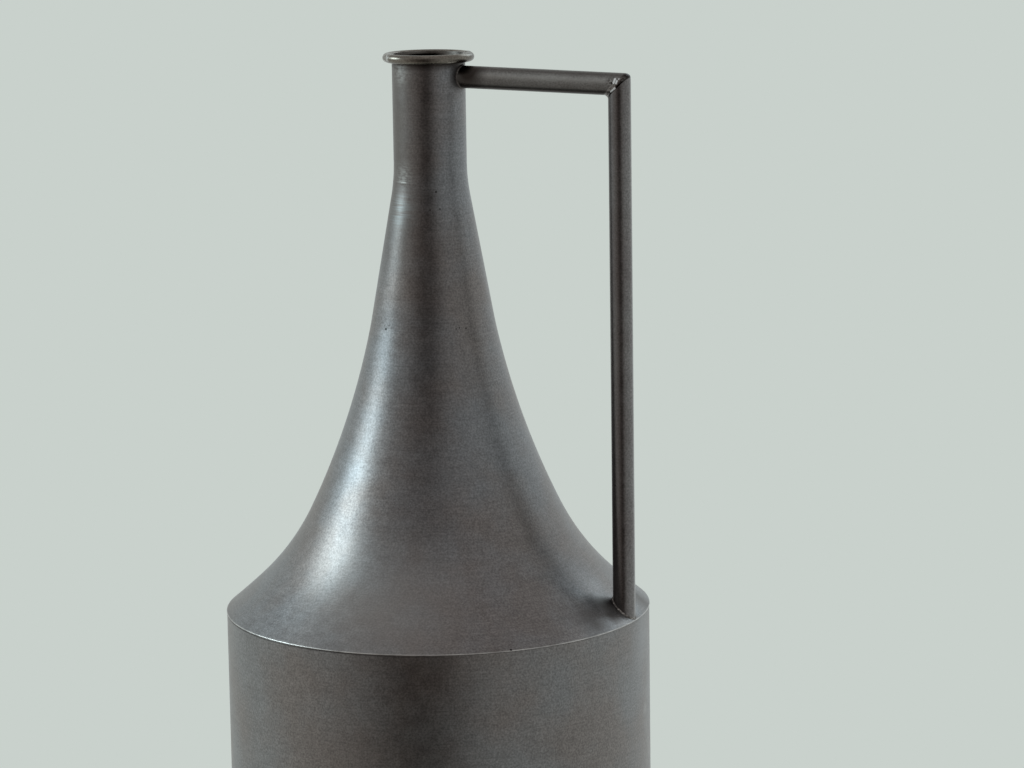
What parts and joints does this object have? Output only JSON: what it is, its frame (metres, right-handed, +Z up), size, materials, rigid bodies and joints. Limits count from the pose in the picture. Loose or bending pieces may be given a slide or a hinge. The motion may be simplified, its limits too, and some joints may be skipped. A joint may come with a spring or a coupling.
{
  "type": "urn vase",
  "caption": "Tall floor vase in welded gunmetal steel: drum body, trumpet shoulder, narrow straight neck with a rolled rim, and a square tube handle from neck to shoulder.",
  "frame": {"origin": "centre of the underside of the pads, on the vase's axis, where it stands on the floor", "axes": "+Z up along the vase's axis, +X from the axis towards the handle's post, +Y to the left of the handle"},
  "size_m": [0.3054, 0.3054, 0.61],
  "materials": {
    "gunmetal_steel": "antiqued gunmetal, satin",
    "ground_weld": "ground weld under the same finish",
    "pad_rubber": "matt"
  },
  "bodies": {
    "root": {"body_cylinder": "gunmetal_steel", "body_seam_weld": "ground_weld", "base_disc": "gunmetal_steel", "base_weld": "ground_weld", "foot_pads": "pad_rubber", "shoulder_cone": "gunmetal_steel", "crease_weld": "ground_weld", "upper_cone": "gunmetal_steel", "cone_weld": "ground_weld", "neck_tube": "gunmetal_steel", "neck_weld": "ground_weld", "rim_ring": "gunmetal_steel", "rim_weld": "ground_weld", "handle_arm": "gunmetal_steel", "arm_weld": "ground_weld", "handle_post": "gunmetal_steel", "corner_weld": "ground_weld", "post_weld": "ground_weld"}
  },
  "joints": []
}
